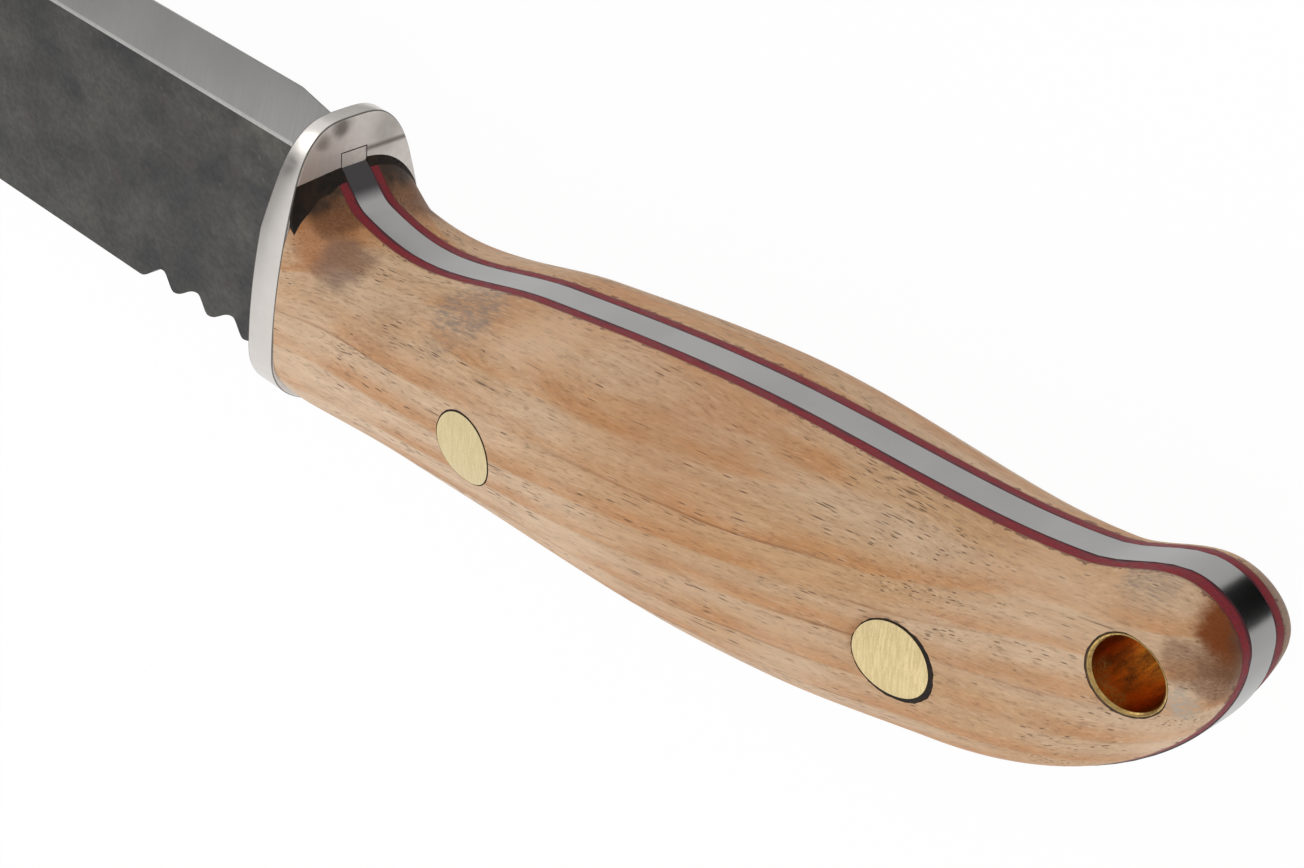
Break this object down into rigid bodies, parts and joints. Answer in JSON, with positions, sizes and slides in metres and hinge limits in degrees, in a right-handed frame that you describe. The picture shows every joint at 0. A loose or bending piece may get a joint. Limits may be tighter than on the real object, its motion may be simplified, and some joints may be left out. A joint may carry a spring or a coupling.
{
  "type": "bushcraft knife",
  "caption": "Fixed-blade bushcraft knife: dark forged full-tang blade with a notched back, steel finger guard, wood scales over red liners, brass pins and a lanyard tube.",
  "frame": {"origin": "under the middle of the knife's box as it lies on its left side, at the lowest point of the left scale", "axes": "+X from butt to tip, -Y towards the cutting edge, +Z out of the right side of the blade"},
  "size_m": [0.2494, 0.0386, 0.0248],
  "materials": {
    "forged_steel": "black forge skin on the flats, satin grind along the edge and around the tang",
    "satin_steel": "satin, polished rear face",
    "red_fibre": "vulcanised fibre sheet, sanded",
    "oiled_wood": "oiled, open pores along the grip",
    "brass": "sanded flush with the wood"
  },
  "bodies": {
    "root": {"blade": "forged_steel", "finger_guard": "satin_steel", "right_liner": "red_fibre", "left_liner": "red_fibre", "right_scale": "oiled_wood", "left_scale": "oiled_wood", "front_pin": "brass", "rear_pin": "brass", "lanyard_tube": "brass"}
  },
  "joints": []
}
